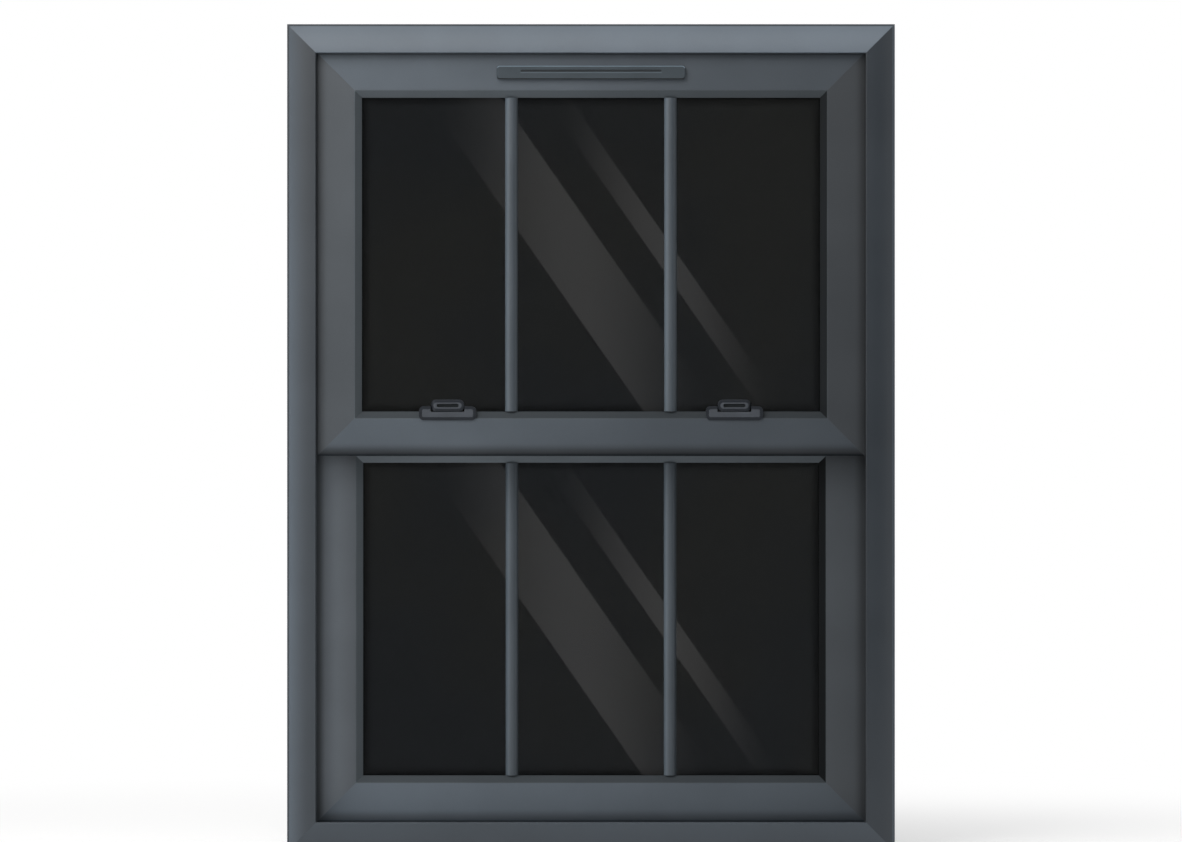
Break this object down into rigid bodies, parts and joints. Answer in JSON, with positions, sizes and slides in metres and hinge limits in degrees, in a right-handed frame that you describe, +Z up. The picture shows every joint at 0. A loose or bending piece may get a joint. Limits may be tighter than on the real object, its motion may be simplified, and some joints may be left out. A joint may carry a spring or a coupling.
{
  "type": "vertical sliding sash window",
  "caption": "Anthracite aluminium window in its own frame, with two sashes that slide past each other, glazing bars, a trickle vent and catches at the meeting rail.",
  "frame": {"origin": "middle of the frame's underside, halfway through its depth", "axes": "+Z up, +Y away from the room, +X to the right seen from the room"},
  "size_m": [0.915, 0.134, 1.245],
  "materials": {
    "frame_finish": "anthracite powder coat, satin, fine texture",
    "sash_finish": "anthracite powder coat, satin, fine texture",
    "bead_finish": "anthracite powder coat, satin",
    "bar_finish": "anthracite powder coat, satin",
    "glass": "dark sealed unit, polished",
    "gasket": "matt black",
    "pile": "woven pile",
    "spacer": "dark anodised",
    "mill_aluminium": "mill finish",
    "black_plastic": "matt",
    "nylon": "moulded, matt",
    "tube_plastic": "extruded, satin",
    "steel": "zinc plated",
    "catch_dark": "die casting, powder coated, dark",
    "catch_light": "die casting, powder coated",
    "vent_plastic": "moulded, fine texture"
  },
  "bodies": {
    "frame": {"frame_head": "frame_finish", "frame_sill": "frame_finish", "frame_left_jamb": "frame_finish", "frame_right_jamb": "frame_finish", "frame_corner_cleats": "mill_aluminium", "front_weather_piles": "pile", "rear_weather_piles": "pile", "travel_stops": "nylon", "balance_tubes": "tube_plastic", "balance_springs": "steel", "balance_bushes": "nylon"},
    "top_sash": {"top_sash_top_rail": "sash_finish", "top_sash_meeting_rail": "sash_finish", "top_sash_left_stile": "sash_finish", "top_sash_right_stile": "sash_finish", "top_sash_beads": "bead_finish", "top_sash_gaskets": "gasket", "top_sash_front_pane": "glass", "top_sash_rear_pane": "glass", "top_sash_spacer": "spacer", "top_sash_setting_blocks": "black_plastic", "top_sash_left_bar": "bar_finish", "top_sash_right_bar": "bar_finish", "top_sash_rear_bars": "bar_finish", "top_sash_corner_cleats": "mill_aluminium", "top_sash_balance_feet": "nylon", "top_sash_balance_rods": "steel", "top_sash_interlock": "bar_finish", "left_catch_base": "catch_dark", "right_catch_base": "catch_dark", "left_catch_cover": "catch_light", "right_catch_cover": "catch_light", "vent_base": "vent_plastic", "vent_grille": "vent_plastic"},
    "bottom_sash": {"bottom_sash_bottom_rail": "sash_finish", "bottom_sash_meeting_rail": "sash_finish", "bottom_sash_left_stile": "sash_finish", "bottom_sash_right_stile": "sash_finish", "bottom_sash_beads": "bead_finish", "bottom_sash_gaskets": "gasket", "bottom_sash_front_pane": "glass", "bottom_sash_rear_pane": "glass", "bottom_sash_spacer": "spacer", "bottom_sash_setting_blocks": "black_plastic", "bottom_sash_left_bar": "bar_finish", "bottom_sash_right_bar": "bar_finish", "bottom_sash_rear_bars": "bar_finish", "bottom_sash_corner_cleats": "mill_aluminium", "bottom_sash_balance_feet": "nylon", "bottom_sash_balance_rods": "steel", "bottom_sash_interlock": "bar_finish", "catch_keeps": "steel"},
    "left_catch": {"left_catch_lever": "catch_light", "left_catch_cam": "steel"},
    "right_catch": {"right_catch_lever": "catch_light", "right_catch_cam": "steel"},
    "vent_flap": {"vent_flap": "vent_plastic"}
  },
  "joints": [
    {"name": "top_sash_slide", "type": "slide", "parent": "frame", "child": "top_sash", "axis": [0, 0, 1], "range_m": [-0.45, 0], "stiffness_N_per_m": 20, "springref_m": 7.721},
    {"name": "bottom_sash_slide", "type": "slide", "parent": "frame", "child": "bottom_sash", "axis": [0, 0, 1], "range_m": [0, 0.45], "stiffness_N_per_m": 20, "springref_m": 8.048},
    {"name": "left_catch_turn", "type": "hinge", "parent": "top_sash", "child": "left_catch", "pos_m": [-0.2344, -0.0457, 0.65], "axis": [0, 0, 1], "range_deg": [-90, 0]},
    {"name": "right_catch_turn", "type": "hinge", "parent": "top_sash", "child": "right_catch", "pos_m": [0.2344, -0.0457, 0.65], "axis": [0, 0, 1], "range_deg": [0, 90]},
    {"name": "vent_flap_tilt", "type": "hinge", "parent": "top_sash", "child": "vent_flap", "pos_m": [0, -0.0533, 1.164], "axis": [1, 0, 0], "range_deg": [0, 25]}
  ]
}
